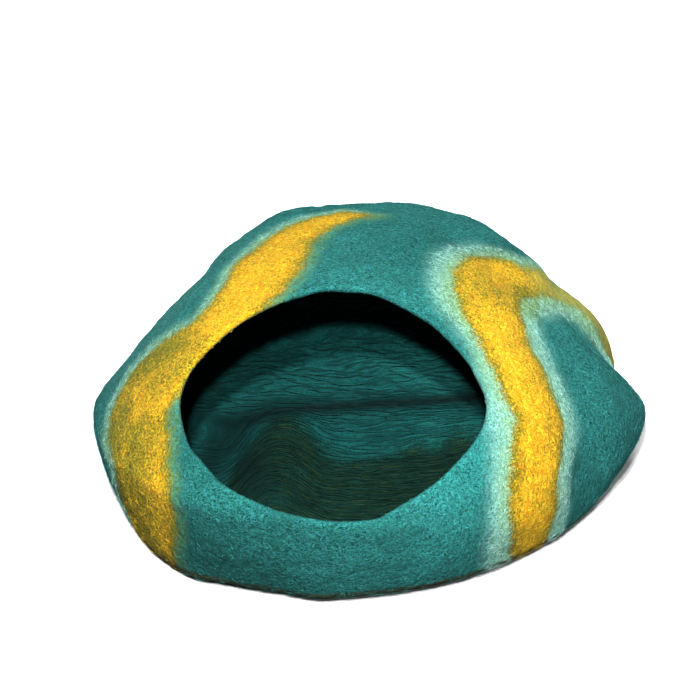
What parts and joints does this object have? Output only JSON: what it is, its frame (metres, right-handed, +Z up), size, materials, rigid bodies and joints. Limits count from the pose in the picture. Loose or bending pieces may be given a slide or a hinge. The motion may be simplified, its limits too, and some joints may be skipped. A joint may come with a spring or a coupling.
{
  "type": "felt cat cave",
  "caption": "Seamless felted wool cave bed for a cat: a low, slack, hollow pod with an eye-shaped mouth in its front and swirling stripes.",
  "frame": {"origin": "centre of the pod's bounding box, on the floor it rests on", "axes": "+X to the right as seen from the front, +Y to the back, +Z up; the mouth looks forward, to -Y, and up"},
  "size_m": [0.4606, 0.4371, 0.2094],
  "materials": {
    "felt": "matt"
  },
  "bodies": {
    "root": {"felt_pod": "felt"}
  },
  "joints": []
}
